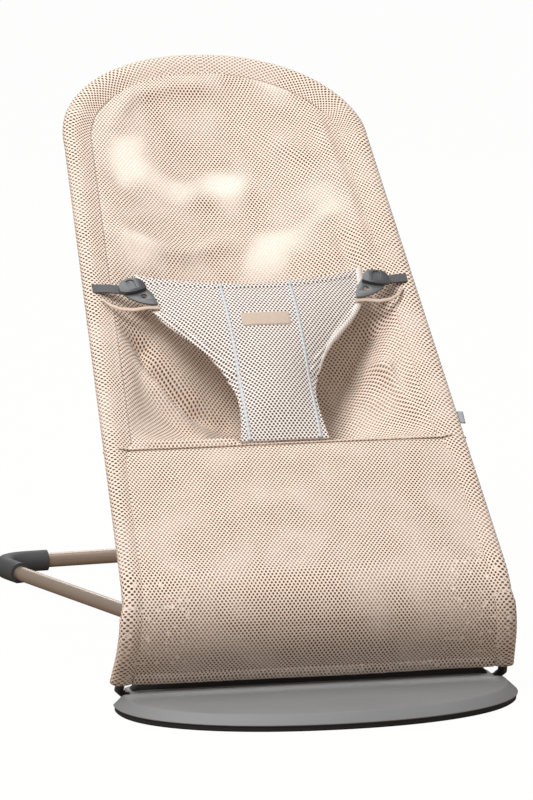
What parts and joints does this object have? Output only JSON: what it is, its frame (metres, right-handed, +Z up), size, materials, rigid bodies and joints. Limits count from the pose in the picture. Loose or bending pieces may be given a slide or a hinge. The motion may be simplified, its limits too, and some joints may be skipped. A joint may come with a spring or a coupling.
{
  "type": "bouncer seat",
  "caption": "Folding baby bouncer seat: air-mesh sling on a bent wire frame, buttoned restraint panel, half-moon foot plate and wishbone base tube.",
  "frame": {"origin": "on the floor, in the middle of the object's length and width", "axes": "+Z up, +Y to the rear (from the foot plate to the rear feet), +X to the right of someone who faces the seat from the front"},
  "size_m": [0.386, 0.7888, 0.55],
  "materials": {
    "plate_plastic": "matte mid-grey moulded plastic",
    "sole_rubber": "black non-slip rubber",
    "grip_rubber": "dark grey rubber",
    "champagne_tube": "satin champagne lacquer on steel tube",
    "black_wire": "black lacquered steel wire",
    "steel": "plain zinc-plated steel",
    "seat_mesh": "pearly pink polyester air mesh",
    "panel_mesh": "off-white polyester air mesh",
    "satin_label": "beige satin, blank",
    "webbing": "dark grey woven webbing",
    "tab_plastic": "light grey moulded plastic",
    "button_plastic": "dark grey moulded plastic"
  },
  "bodies": {
    "base": {"foot_plate": "plate_plastic", "plate_sole": "sole_rubber", "tube_socket": "plate_plastic", "socket_screw_left_1": "steel", "socket_screw_left_2": "steel", "socket_screw_right_1": "steel", "socket_screw_right_2": "steel", "base_tube": "champagne_tube", "rear_foot_left": "grip_rubber", "prop_saddle_left": "plate_plastic", "rear_foot_right": "grip_rubber", "prop_saddle_right": "plate_plastic"},
    "seat": {"rail_left": "black_wire", "hip_tongue_left": "steel", "catch_rack_left": "button_plastic", "rack_rivet_left_1": "steel", "rack_rivet_left_2": "steel", "strap_left": "webbing", "panel_tab_left": "tab_plastic", "rail_right": "black_wire", "hip_tongue_right": "steel", "catch_rack_right": "button_plastic", "rack_rivet_right_1": "steel", "rack_rivet_right_2": "steel", "strap_right": "webbing", "panel_tab_right": "tab_plastic", "fabric_seat": "seat_mesh", "restraint_panel": "panel_mesh", "panel_label": "satin_label", "side_tag": "satin_label"},
    "backrest": {"back_hoop": "black_wire", "fabric_back": "seat_mesh", "hip_fork_left": "steel", "hip_pin_left": "steel", "hip_fork_right": "steel", "hip_pin_right": "steel"},
    "prop": {"prop_wire": "black_wire", "prop_peg_left": "sole_rubber", "prop_peg_right": "sole_rubber"},
    "button_left": {"button_left": "button_plastic"},
    "button_right": {"button_right": "button_plastic"}
  },
  "joints": [
    {"name": "seat_recline", "type": "hinge", "parent": "base", "child": "seat", "pos_m": [0, -0.26041, 0.011], "axis": [1, 0, 0], "range_deg": [-39.5, 0]},
    {"name": "prop_swing", "type": "hinge", "parent": "base", "child": "prop", "pos_m": [0, -0.08861, 0.028], "axis": [1, 0, 0], "range_deg": [-79.2, 0]},
    {"name": "bounce", "type": "hinge", "parent": "seat", "child": "backrest", "pos_m": [0, 0.03309, 0.37772], "axis": [1, 0, 0], "range_deg": [-4, 4], "stiffness_Nm_per_rad": 60},
    {"name": "button_turn_left", "type": "hinge", "parent": "seat", "child": "button_left", "pos_m": [-0.1215, -0.01767, 0.35747], "axis": [0, -0.6382, 0.7698], "range_deg": [-12, 12]},
    {"name": "button_turn_right", "type": "hinge", "parent": "seat", "child": "button_right", "pos_m": [0.1215, -0.01767, 0.35747], "axis": [0, -0.6382, 0.7698], "range_deg": [-12, 12]}
  ],
  "couplings": [
    {"joint": "prop_swing", "follows": "seat_recline", "ratio": 2}
  ]
}
